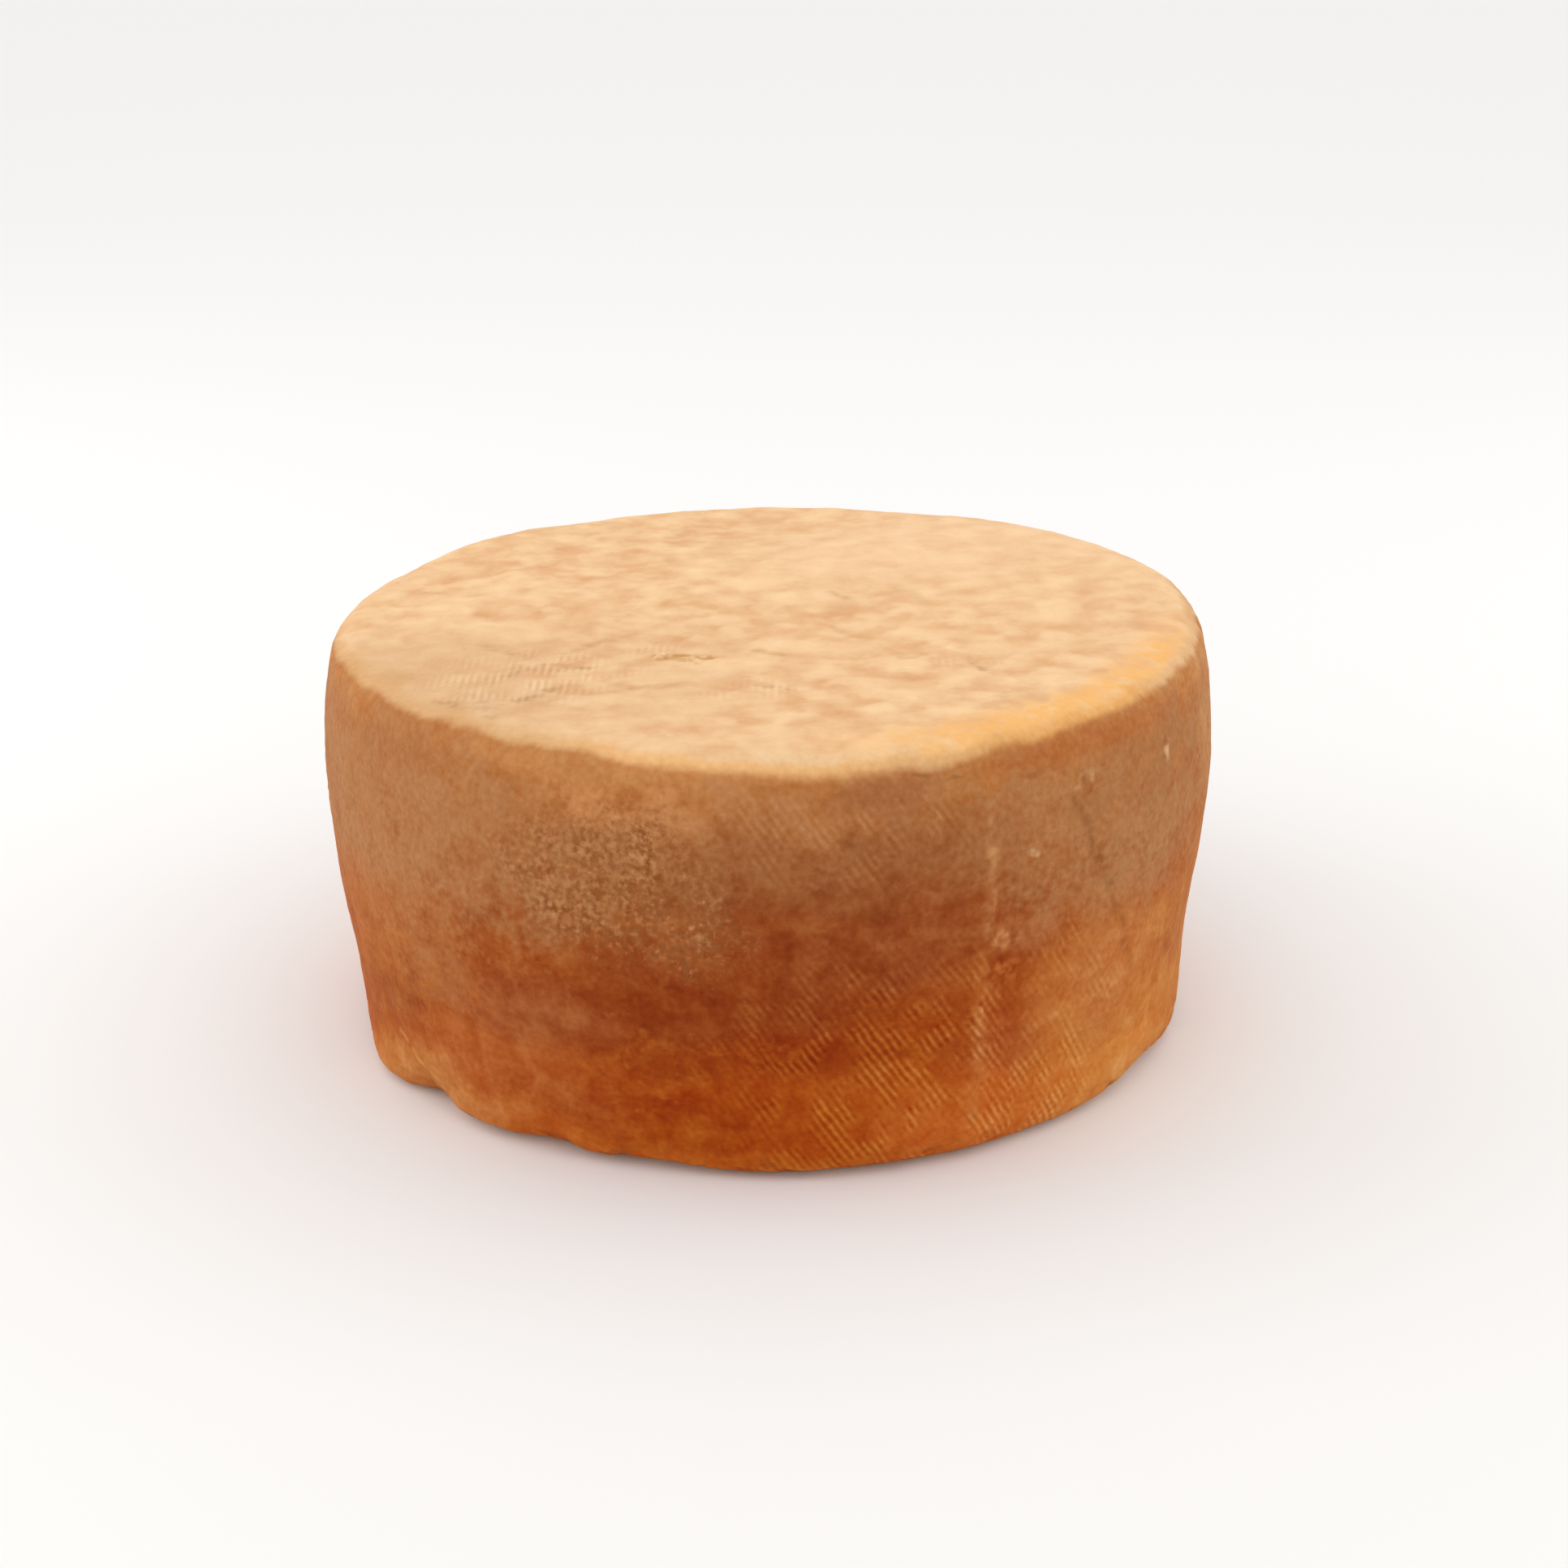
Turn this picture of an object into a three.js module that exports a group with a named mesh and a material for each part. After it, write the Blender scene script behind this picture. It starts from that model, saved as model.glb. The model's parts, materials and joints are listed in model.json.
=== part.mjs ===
// A whole wheel of pressed mountain cheese with a washed rind: a squat drum with a soft rim, a full
// shoulder, and a flank that draws in to the foot. It was pressed in cloth and turned by hand as it
// ripened, so nothing on it is quite true: the top leans a little, cloth folds run down the flank, and
// shelves have dented the foot. Units are millimetres and +Z is up. The origin is the middle of the flat
// base, and the front faces -Y.

import * as THREE from "three";
import { ImprovedNoise } from "three/addons/math/ImprovedNoise.js";

// Driving dimensions of the wheel.
const BELLY_RADIUS = 130;
const HEIGHT = 122;

// Proportions of the section, worked out from those two.
const FOOT_RADIUS = BELLY_RADIUS * 0.96;
const SHOULDER_RADIUS = BELLY_RADIUS * 0.983;
const FOOT_ROUND = 7;
const RIM_ROUND = 9;

// The flank is one cubic curve from the foot to the shoulder, drawn out to its belly by these two handles.
const LOWER_HANDLE = new THREE.Vector2(BELLY_RADIUS * 0.98, HEIGHT * 0.33);
const UPPER_HANDLE = new THREE.Vector2(BELLY_RADIUS * 1.04, HEIGHT * 0.7);

// Spacing of the rings and of the points around them, on broad faces and on rounded edges, and the fewest
// points that a ring near the middle has.
const BROAD_STEP = 5.7;
const ROUNDED_STEP = 3;
const FEWEST_IN_RING = 6;

// The top face leans: its edge is this much above the level at one azimuth, and as much below it opposite.
const TOP_LEAN = 1.8;
const TOP_LEAN_AZIMUTH = 106;

// Waves around the wheel that take it out of round: how many, how deep, and where the first crest is.
const OUT_OF_ROUND = [
  { waves: 2, depth: 0.25, crest: 70 },
  { waves: 3, depth: 0.5, crest: -75 },
];

// Unevenness of the curd under the rind: a broad swell and a shorter one.
const SWELLS = [
  { length: 62, height: 1.5 },
  { length: 27, height: 0.55 },
];

// The draining cloth was quilted in diamonds, which left pillows on the top face.
const PILLOW_SIZE = 19;
const PILLOW_HEIGHT = 0.75;
const PILLOW_MIDDLE = 0.6; // the share of its height that a pillow has on average

// The lines between pillows drift sideways by up to this far, over about this length of cloth. The depths are
// where in the noise the drift along x and the drift along y are read.
const DRIFT = { reach: 7, length: 41, depths: [3.7, 8.2] };

// Folds of the cloth down the flank, from high to low. A fold with a negative rise is a groove.
// Azimuths are degrees from the front, turning towards +X, and heights are above the base.
const CLOTH_FOLDS = [
  { from: [25, 110], to: [26, 3], rise: 1.3, width: 3.2 },
  { from: [39, 106], to: [50, 40], rise: -1.0, width: 2.8 },
  { from: [-118, 112], to: [-113, 5], rise: 1.2, width: 3.4 },
  { from: [158, 108], to: [149, 30], rise: -1.0, width: 3 },
  { from: [-171, 104], to: [-176, 62], rise: 0.9, width: 3 },
];

// A fold wanders this far to either side over about this length, and fades out over this share of its run.
const FOLD_WANDER = { reach: 1.6, length: 17 };
const FOLD_FADE = 0.12;

// How far the surface has turned upwards where the print of the top face starts, from 0 level to 1 upright.
const TOP_PRINT_STARTS = 0.6;

// Single marks of handling: a raised blister, or a dent where the rise is negative.
const MARKS = [
  { name: "pit beside the front fold", azimuth: 29, height: 51, rise: -2.2, across: 4.5, tall: 8 },
  { name: "hollow in the right flank", azimuth: 74, height: 45, rise: -1.9, across: 26, tall: 22 },
  { name: "swollen rim at the left", azimuth: -112, height: 116, rise: 1, across: 32, tall: 14 },
  { name: "hollow over the left foot", azimuth: -86, height: 25, rise: -2.3, across: 34, tall: 15 },
  { name: "bulge of the left foot", azimuth: -61, height: 6, rise: 3.2, across: 13, tall: 8 },
  { name: "nick beside that bulge", azimuth: -49, height: 3, rise: -3.6, across: 6, tall: 7 },
  { name: "small bulge past the nick", azimuth: -39, height: 4, rise: 1.4, across: 8, tall: 7 },
  { name: "shelf nick in the foot", azimuth: -28, height: 2, rise: -2.4, across: 7, tall: 6 },
  { name: "hollow in the back flank", azimuth: 122, height: 58, rise: -1.7, across: 30, tall: 20 },
  { name: "shelf dent in the back foot", azimuth: -148, height: 3, rise: -2.6, across: 14, tall: 8 },
];

const noise = new ImprovedNoise();

// Half of the section as curves of (radius, height), from the edge of the flat base round to the middle
// of the top, each with the spacing of its rings.
function sectionCurves() {
  const footEnd = new THREE.Vector2(FOOT_RADIUS, FOOT_ROUND);
  const shoulder = new THREE.Vector2(SHOULDER_RADIUS, HEIGHT - RIM_ROUND);
  const quarter = Math.PI / 2;
  return [
    {
      curve: new THREE.EllipseCurve(
        FOOT_RADIUS - FOOT_ROUND, FOOT_ROUND, FOOT_ROUND, FOOT_ROUND, -quarter, 0,
      ),
      step: ROUNDED_STEP,
    },
    { curve: new THREE.CubicBezierCurve(footEnd, LOWER_HANDLE, UPPER_HANDLE, shoulder), step: BROAD_STEP },
    {
      curve: new THREE.EllipseCurve(
        SHOULDER_RADIUS - RIM_ROUND, HEIGHT - RIM_ROUND, RIM_ROUND, RIM_ROUND, 0, quarter,
      ),
      step: ROUNDED_STEP,
    },
    {
      curve: new THREE.LineCurve(
        new THREE.Vector2(SHOULDER_RADIUS - RIM_ROUND, HEIGHT), new THREE.Vector2(0, HEIGHT),
      ),
      step: BROAD_STEP,
    },
  ];
}

// The rings of the wheel, as the radius, height and outward normal of the section at each one.
function sectionRings() {
  const rings = [];
  for (const { curve, step } of sectionCurves()) {
    const steps = Math.ceil(curve.getLength() / step);
    for (let i = rings.length ? 1 : 0; i <= steps; i++) {
      const at = curve.getPointAt(i / steps);
      const along = curve.getTangentAt(i / steps);
      rings.push({ radius: at.x, height: at.y, normal: new THREE.Vector2(along.y, -along.x) });
    }
  }
  rings.pop(); // the middle of the top is one point, which is added by itself
  return rings;
}

// Degrees from one azimuth to another, the short way round.
function turnBetween(from, to) {
  return THREE.MathUtils.euclideanModulo(to - from + 180, 360) - 180;
}

// A smooth bump of height 1, which falls to almost nothing two widths away.
function bump(distance) {
  return Math.exp(-distance * distance);
}

// Millimetres along the flank for a turn in degrees.
function arcLength(degrees) {
  return THREE.MathUtils.degToRad(degrees) * BELLY_RADIUS;
}

function clothFolds(azimuth, height) {
  let rise = 0;
  for (const fold of CLOTH_FOLDS) {
    const [topAzimuth, topHeight] = fold.from;
    const [lowAzimuth, lowHeight] = fold.to;
    const down = (topHeight - height) / (topHeight - lowHeight);
    const middle = THREE.MathUtils.lerp(topAzimuth, lowAzimuth, down);
    const wander = FOLD_WANDER.reach * noise.noise(height / FOLD_WANDER.length, topAzimuth, 0);
    const across = arcLength(turnBetween(middle, azimuth)) + wander;
    const starts = THREE.MathUtils.smoothstep(down, -FOLD_FADE, FOLD_FADE);
    const ends = 1 - THREE.MathUtils.smoothstep(down, 1 - FOLD_FADE, 1 + FOLD_FADE);
    rise += fold.rise * starts * ends * bump(across / fold.width);
  }
  return rise;
}

function handlingMarks(azimuth, height) {
  let rise = 0;
  for (const mark of MARKS) {
    const across = arcLength(turnBetween(mark.azimuth, azimuth)) / mark.across;
    rise += mark.rise * bump(Math.hypot(across, (height - mark.height) / mark.tall));
  }
  return rise;
}

function swells(x, y, z) {
  return SWELLS.reduce(
    (sum, { length, height }) => sum + height * noise.noise(x / length, y / length, z / length), 0,
  );
}

// Diamond pillows with sharp valleys between them, whose lines drift as the cloth did.
function pillows(x, y) {
  const [alongX, alongY] = DRIFT.depths.map(
    (depth) => DRIFT.reach * noise.noise(x / DRIFT.length, y / DRIFT.length, depth),
  );
  const slant = Math.PI / (PILLOW_SIZE * Math.SQRT2);
  const one = Math.abs(Math.sin((x + alongX + y + alongY) * slant));
  const other = Math.abs(Math.sin((x + alongX - y - alongY) * slant));
  return PILLOW_HEIGHT * (Math.sqrt(one * other) - PILLOW_MIDDLE);
}

// How far the rind stands out from the plain section, along its normal.
function relief(ring, azimuth, x, y) {
  const { radius, height, normal } = ring;
  const onTop = THREE.MathUtils.smoothstep(normal.y, TOP_PRINT_STARTS, 1);
  const offBase = THREE.MathUtils.smoothstep(height, 0, FOOT_ROUND);
  const onFlank = THREE.MathUtils.smoothstep(radius, SHOULDER_RADIUS - 2 * RIM_ROUND, FOOT_RADIUS);
  return (
    swells(x, y, height) * offBase +
    pillows(x, y) * onTop +
    (clothFolds(azimuth, height) * offBase + handlingMarks(azimuth, height)) * onFlank
  );
}

// The cosine of an angle in degrees.
function cosine(degrees) {
  return Math.cos(THREE.MathUtils.degToRad(degrees));
}

// The finished place of the rind's point on a ring at an azimuth. The base ring stays flat on the ground.
function rindPoint(ring, azimuth) {
  const turn = THREE.MathUtils.degToRad(azimuth);
  const point = new THREE.Vector3(Math.sin(turn), -Math.cos(turn), 0);
  const rise = relief(ring, azimuth, point.x * ring.radius, point.y * ring.radius);
  const waver = OUT_OF_ROUND.reduce(
    (sum, { waves, depth, crest }) => sum + depth * cosine(waves * (azimuth - crest)), 0,
  );
  const radius = ring.radius * (1 + waver / BELLY_RADIUS) + ring.normal.x * rise;
  const lean = (TOP_LEAN * radius * cosine(azimuth - TOP_LEAN_AZIMUTH)) / BELLY_RADIUS;
  const height = (ring.height + ring.normal.y * rise) * (1 + lean / HEIGHT);
  point.multiplyScalar(radius);
  point.z = ring.height === 0 ? 0 : Math.max(0, height);
  return point;
}

// Vertices of the wheel, ring by ring. Every other ring is turned by half a space, to keep the faces even.
function rindRings() {
  return sectionRings().map((ring, row) => {
    const count = Math.max(FEWEST_IN_RING, Math.round((2 * Math.PI * ring.radius) / BROAD_STEP));
    return Array.from({ length: count }, (_, i) => {
      const azimuth = ((i + (row % 2) / 2) * 360) / count;
      return { azimuth, point: rindPoint(ring, azimuth) };
    });
  });
}

// Faces between two rings that may differ in count: each face takes the next point of the ring that is
// behind.
function stitch(lower, upper, faces) {
  let i = 0;
  let j = 0;
  while (i < lower.length || j < upper.length) {
    const a = lower[i % lower.length];
    const b = upper[j % upper.length];
    const nextLower = lower[(i + 1) % lower.length];
    const nextUpper = upper[(j + 1) % upper.length];
    const lowerTurn = i < lower.length ? (i + 1) / lower.length + lower[0].azimuth / 360 : Infinity;
    const upperTurn = j < upper.length ? (j + 1) / upper.length + upper[0].azimuth / 360 : Infinity;
    if (lowerTurn < upperTurn) {
      faces.push(a.index, nextLower.index, b.index);
      i++;
    } else {
      faces.push(a.index, nextUpper.index, b.index);
      j++;
    }
  }
}

// Faces from a ring to a point that closes it. The point is above the ring, or under it for the base.
function closeRing(ring, centre, faces, above) {
  ring.forEach((vertex, i) => {
    const next = ring[(i + 1) % ring.length].index;
    faces.push(...(above ? [vertex.index, next, centre] : [next, vertex.index, centre]));
  });
}

function wheelGeometry() {
  const rings = rindRings();
  const positions = [];
  const place = (point) => positions.push(point.x, point.y, point.z) / 3 - 1;
  for (const vertex of rings.flat()) vertex.index = place(vertex.point);
  const base = place(new THREE.Vector3(0, 0, 0));
  const top = place(new THREE.Vector3(0, 0, HEIGHT + pillows(0, 0) + swells(0, 0, HEIGHT)));

  const faces = [];
  closeRing(rings[0], base, faces, false);
  for (let row = 1; row < rings.length; row++) stitch(rings[row - 1], rings[row], faces);
  closeRing(rings.at(-1), top, faces, true);

  const geometry = new THREE.BufferGeometry();
  geometry.setAttribute("position", new THREE.Float32BufferAttribute(positions, 3));
  geometry.setIndex(faces);
  geometry.computeVertexNormals();
  return geometry;
}

// The rind is dry and matt, an orange tan between the pale top and the rust-brown flank.
function rindMaterial() {
  return new THREE.MeshStandardMaterial({ color: 0xb9783f, roughness: 0.72, metalness: 0 });
}

const wheel = new THREE.Mesh(wheelGeometry(), rindMaterial());
wheel.name = "cheese_wheel";

const part = new THREE.Group();
part.name = "whole cheese";
part.add(wheel);

export default part;
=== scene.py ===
"""A whole wheel of pressed mountain cheese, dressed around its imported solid.

The solid holds the form: a squat drum with a soft rim, cloth folds and dents. This script lays a fine rind
over it, works the rind's finer relief in, and gives it the finish of a natural washed rind. Blender's own
lengths are metres, and names that end in _MM hold millimetres. Azimuths are degrees from the front (-Y),
turning towards +X, and heights are above the base.
"""

import json
import math

import bpy
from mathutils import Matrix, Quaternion, Vector

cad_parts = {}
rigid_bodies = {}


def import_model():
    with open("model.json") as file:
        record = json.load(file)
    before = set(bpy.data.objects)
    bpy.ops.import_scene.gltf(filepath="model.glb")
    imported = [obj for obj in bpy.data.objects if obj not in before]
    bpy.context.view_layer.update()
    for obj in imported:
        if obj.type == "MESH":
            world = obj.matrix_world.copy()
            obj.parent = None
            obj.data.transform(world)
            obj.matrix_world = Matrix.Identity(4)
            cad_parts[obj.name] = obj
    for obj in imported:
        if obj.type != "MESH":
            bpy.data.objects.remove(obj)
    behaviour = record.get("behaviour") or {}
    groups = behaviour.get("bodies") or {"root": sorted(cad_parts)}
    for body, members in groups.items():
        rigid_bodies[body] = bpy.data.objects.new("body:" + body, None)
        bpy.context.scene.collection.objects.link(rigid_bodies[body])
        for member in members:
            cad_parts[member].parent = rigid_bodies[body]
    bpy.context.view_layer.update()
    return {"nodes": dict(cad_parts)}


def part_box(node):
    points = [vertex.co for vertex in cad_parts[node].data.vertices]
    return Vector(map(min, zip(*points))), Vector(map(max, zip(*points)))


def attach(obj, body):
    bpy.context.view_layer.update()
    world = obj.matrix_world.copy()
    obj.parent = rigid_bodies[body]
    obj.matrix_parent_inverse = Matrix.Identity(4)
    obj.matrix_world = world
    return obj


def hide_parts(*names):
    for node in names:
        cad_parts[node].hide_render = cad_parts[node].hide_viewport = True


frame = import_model()
MM = 0.001

# The even drum that marks are placed on: its radii, its top, and the height that colours by height run to.
FLANK_MM = 129
RIM_MM = 123
FOOT_MM = 120
TOP_MM = 122
HEIGHT_MM = 125


# Helpers

def linear(hex_colour):
    """The linear RGBA of an sRGB hex colour."""
    channels = [int(hex_colour[i:i + 2], 16) / 255 for i in (1, 3, 5)]
    return [c / 12.92 if c <= 0.04045 else ((c + 0.055) / 1.055) ** 2.4 for c in channels] + [1]


def add(tree, kind, take=(), give=None, stops=(), **settings):
    """Adds a node. take holds its inputs by name or number: an output socket is linked, a value is set.
    stops are a colour ramp's (place, hex colour or share) pairs. Returns the output called give, or else
    the first that the settings leave in use."""
    made = tree.nodes.new(kind)
    for name, value in settings.items():
        setattr(made, name, value)
    for i, (at, tone) in enumerate(stops):
        stop = made.color_ramp.elements[i] if i < 2 else made.color_ramp.elements.new(at)
        stop.position = at
        stop.color = linear(tone) if isinstance(tone, str) else (tone, tone, tone, 1)
    for key, value in dict(take).items():
        named = [s for s in made.inputs if s.enabled and s.name == key]
        socket = named[0] if named else made.inputs[key]
        if isinstance(value, bpy.types.NodeSocket):
            tree.links.new(value, socket)
        else:
            socket.default_value = value
    return next((s for s in made.outputs if s.enabled and give in (None, s.name)), None)


def on_flank(azimuth, height_mm, radius_mm=FLANK_MM):
    """The point at an azimuth and a height, a radius away from the axis, in millimetres."""
    turn = math.radians(azimuth)
    return Vector((math.sin(turn) * radius_mm, -math.cos(turn) * radius_mm, height_mm))


def on_top(x_mm, y_mm):
    """A point of the even top, in millimetres."""
    return Vector((x_mm, y_mm, TOP_MM))


# Camera

TARGET = Vector((0, 0, 61 * MM))
CAMERA_DISTANCE = 780 * MM
CAMERA_ELEVATION = math.radians(20.9)
CAMERA_ROLL = math.radians(-0.31)
FOCAL_PIXELS = 3175
FRAME_PIXELS = 1932
TARGET_PIXEL = (947, 986)
SENSOR_MM = 36
CLIP_START = 0.01
CLIP_END = 50


def make_camera():
    """Looks at the wheel from the front and above, with the wheel a little left of and below the middle."""
    bpy.ops.object.camera_add()
    camera = bpy.context.object
    camera.name = "camera"
    back = Vector((0, -math.cos(CAMERA_ELEVATION), math.sin(CAMERA_ELEVATION)))
    camera.rotation_mode = "QUATERNION"
    aim = back.to_track_quat("Z", "Y")
    right, up = aim @ Vector((1, 0, 0)), aim @ Vector((0, 1, 0))
    metres_per_pixel = CAMERA_DISTANCE / FOCAL_PIXELS
    off_right = (FRAME_PIXELS / 2 - TARGET_PIXEL[0]) * metres_per_pixel
    off_up = (TARGET_PIXEL[1] - FRAME_PIXELS / 2) * metres_per_pixel
    camera.location = TARGET + back * CAMERA_DISTANCE + right * off_right + up * off_up
    camera.rotation_quaternion = Quaternion(back, CAMERA_ROLL) @ aim
    camera.data.sensor_width = SENSOR_MM
    camera.data.lens = FOCAL_PIXELS * SENSOR_MM / FRAME_PIXELS
    camera.data.clip_start = CLIP_START
    camera.data.clip_end = CLIP_END
    bpy.context.scene.camera = camera


# The rind's mesh

AROUND = 140
FOOT_ROUND_MM = 7
RIM_ROUND_MM = 9
FLANK_RINGS = 20
FOOT_RINGS = 2
RIM_RINGS = 3
SAME_HEIGHT = 0.01 * MM
GRID_SMOOTHINGS = 30
SUBDIVISIONS = 2


def section():
    """Rings of the drum as (radius, height) in metres, from the edge of the base to the edge of the top."""
    low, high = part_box("cheese_wheel")
    radius, height = (high.x - low.x) / 2, high.z
    foot, rim = FOOT_ROUND_MM * MM, RIM_ROUND_MM * MM
    rings = []
    for i in range(FOOT_RINGS):
        turn = math.pi / 2 * i / FOOT_RINGS
        rings.append((radius - foot + foot * math.sin(turn), foot - foot * math.cos(turn)))
    for i in range(FLANK_RINGS):
        rings.append((radius, foot + (height - foot - rim) * i / FLANK_RINGS))
    for i in range(RIM_RINGS + 1):
        turn = math.pi / 2 * i / RIM_RINGS
        rings.append((radius - rim + rim * math.cos(turn), height - rim + rim * math.sin(turn)))
    return rings


def select_ring(mesh_object, height):
    """Selects the edges at one height, in edit mode."""
    bpy.ops.mesh.select_all(action="DESELECT")
    bpy.ops.object.mode_set(mode="OBJECT")
    for vertex in mesh_object.data.vertices:
        vertex.select = abs(vertex.co.z - height) < SAME_HEIGHT
    bpy.ops.object.mode_set(mode="EDIT")


def rind_cage():
    """A drum of even quads: rings up the flank, and a grid over the base and over the top."""
    rings = section()
    bpy.ops.object.select_all(action="DESELECT")
    bpy.ops.mesh.primitive_circle_add(vertices=AROUND, radius=rings[0][0])
    cage = bpy.context.object
    cage.name = "cheese_rind"
    bpy.ops.object.mode_set(mode="EDIT")
    bpy.ops.mesh.select_mode(type="VERT")
    bpy.ops.mesh.select_all(action="SELECT")
    for (radius, height), (next_radius, next_height) in zip(rings, rings[1:]):
        climb = {"value": (0, 0, next_height - height)}
        bpy.ops.mesh.extrude_region_move(TRANSFORM_OT_translate=climb)
        share = next_radius / radius
        bpy.ops.transform.resize(value=(share, share, 1), center_override=(0, 0, next_height))
    for height in (rings[0][1], rings[-1][1]):
        select_ring(cage, height)
        bpy.ops.mesh.fill_grid(span=AROUND // 4)
        bpy.ops.mesh.select_less()
        bpy.ops.mesh.vertices_smooth(factor=0.5, repeat=GRID_SMOOTHINGS)
    bpy.ops.mesh.select_all(action="SELECT")
    bpy.ops.mesh.normals_make_consistent(inside=False)
    bpy.ops.object.mode_set(mode="OBJECT")
    return cage


def apply_modifiers(mesh_object):
    """Applies the modifiers in their order."""
    bpy.context.view_layer.objects.active = mesh_object
    for modifier in list(mesh_object.modifiers):
        bpy.ops.object.modifier_apply(modifier=modifier.name)


def make_rind():
    """Lays the cage on the solid, makes it fine and works the relief in."""
    rind = rind_cage()
    wrap = rind.modifiers.new("lie on the solid", "SHRINKWRAP")
    wrap.target = frame["nodes"]["cheese_wheel"]
    wrap.wrap_method = "NEAREST_SURFACEPOINT"
    fine = rind.modifiers.new("fine", "SUBSURF")
    fine.levels = fine.render_levels = SUBDIVISIONS
    relief = rind.modifiers.new("relief", "NODES")
    relief.node_group = rind_relief()
    apply_modifiers(rind)
    bpy.ops.object.select_all(action="DESELECT")
    rind.select_set(True)
    bpy.ops.object.shade_smooth()
    return rind


# Patterns that the relief and the finish share. They read a place on the wheel in millimetres.
# Cycles gives each Map Range that clamps a hidden node and works it out last, and a material has no room
# for hundreds of waiting values. So the masks don't clamp: a smooth step needs none, and a stripe has a
# Clamp node.

# How much of its height off the even top a place keeps.
FACE_SHARE = 0.2
# Ways that borders wander: (size in mm, reach in mm, detail).
FRAYED = (7, 4, 2)
RAGGED = (22, 24, 4)


def spot(tree, place, middle, half_size, softness):
    """1 within an ellipsoid round a middle and 0 outside it. Its border is soft by a share of its size."""
    offset = add(tree, "ShaderNodeVectorMath", {0: place, 1: middle}, operation="SUBTRACT")
    shares = add(tree, "ShaderNodeVectorMath", {0: offset, 1: half_size}, operation="DIVIDE")
    distance = add(tree, "ShaderNodeVectorMath", {0: shares}, operation="LENGTH")
    border = {"Value": distance, "From Min": 1 + softness, "From Max": 1 - softness}
    return add(tree, "ShaderNodeMapRange", border, interpolation_type="SMOOTHSTEP", clamp=False)


def strongest(tree, place, areas):
    """The greatest of the areas' strengths at each place, and 0 outside them."""
    greatest = 0.0
    for middle, half_size, softness, strength in areas:
        mask = spot(tree, place, middle, half_size, softness)
        strong = add(tree, "ShaderNodeMath", {0: mask, 1: strength}, operation="MULTIPLY")
        greatest = add(tree, "ShaderNodeMath", {0: strong, 1: greatest}, operation="MAXIMUM")
    return greatest


def stripe(tree, place, start, end, half_width):
    """1 along a straight line between two points, and 0 beyond a half width from it."""
    along = end - start
    offset = add(tree, "ShaderNodeVectorMath", {0: place, 1: start}, operation="SUBTRACT")
    on_line = {0: offset, 1: along / along.length_squared}
    run = add(tree, "ShaderNodeVectorMath", on_line, operation="DOT_PRODUCT")
    share = add(tree, "ShaderNodeClamp", {0: run})
    nearest = add(tree, "ShaderNodeVectorMath", {0: along, "Scale": share}, operation="SCALE")
    gap = add(tree, "ShaderNodeVectorMath", {0: offset, 1: nearest}, operation="DISTANCE")
    border = {"Value": gap, "From Min": half_width, "From Max": 0}
    return add(tree, "ShaderNodeMapRange", border, interpolation_type="SMOOTHSTEP", clamp=False)


def in_mm(tree, position):
    """A position in metres turned into millimetres."""
    return add(tree, "ShaderNodeVectorMath", {0: position, "Scale": 1 / MM}, operation="SCALE")


def radius_of(tree, place):
    """How far a place is from the axis."""
    level = add(tree, "ShaderNodeVectorMath", {0: place, 1: (1, 1, 0)}, operation="MULTIPLY")
    return add(tree, "ShaderNodeVectorMath", {0: level}, operation="LENGTH")


def flank_place(tree, place):
    """The place brought out or in to the even drum, so that marks keep their size on the flank's dents."""
    share = add(tree, "ShaderNodeMath", {0: FLANK_MM, 1: radius_of(tree, place)}, operation="DIVIDE")
    even = add(tree, "ShaderNodeCombineXYZ", {"X": share, "Y": share, "Z": 1.0})
    return add(tree, "ShaderNodeVectorMath", {0: place, 1: even}, operation="MULTIPLY")


def face_place(tree, place):
    """The place brought towards the even top, so that marks on it keep their size on its pillows."""
    pressed = {0: place, 1: (1, 1, FACE_SHARE), 2: (0, 0, TOP_MM * (1 - FACE_SHARE))}
    return add(tree, "ShaderNodeVectorMath", pressed, operation="MULTIPLY_ADD")


def sway(tree, place, size, reach, detail):
    """The place moved by up to half a reach, to make borders wander as pressed curd and mould do."""
    wander = {"Vector": place, "Scale": 1 / size, "Detail": detail}
    noise = add(tree, "ShaderNodeTexNoise", wander, "Color")
    centred = add(tree, "ShaderNodeVectorMath", {0: noise, 1: (0.5, 0.5, 0.5)}, operation="SUBTRACT")
    moved = {0: centred, 1: (reach, reach, reach), 2: place}
    return add(tree, "ShaderNodeVectorMath", moved, operation="MULTIPLY_ADD")


def less_on_faces(tree, facing, least):
    """1 on the flank, falling to a least share on the top."""
    level = {"Value": facing, "From Min": 0.98, "From Max": 0.7, "To Min": least}
    return add(tree, "ShaderNodeMapRange", level)


def off_base(tree, facing):
    """0 on the flat base and 1 off it."""
    return add(tree, "ShaderNodeMapRange", {"Value": facing, "From Min": -1, "From Max": -0.85})


# The rind's relief

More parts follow.
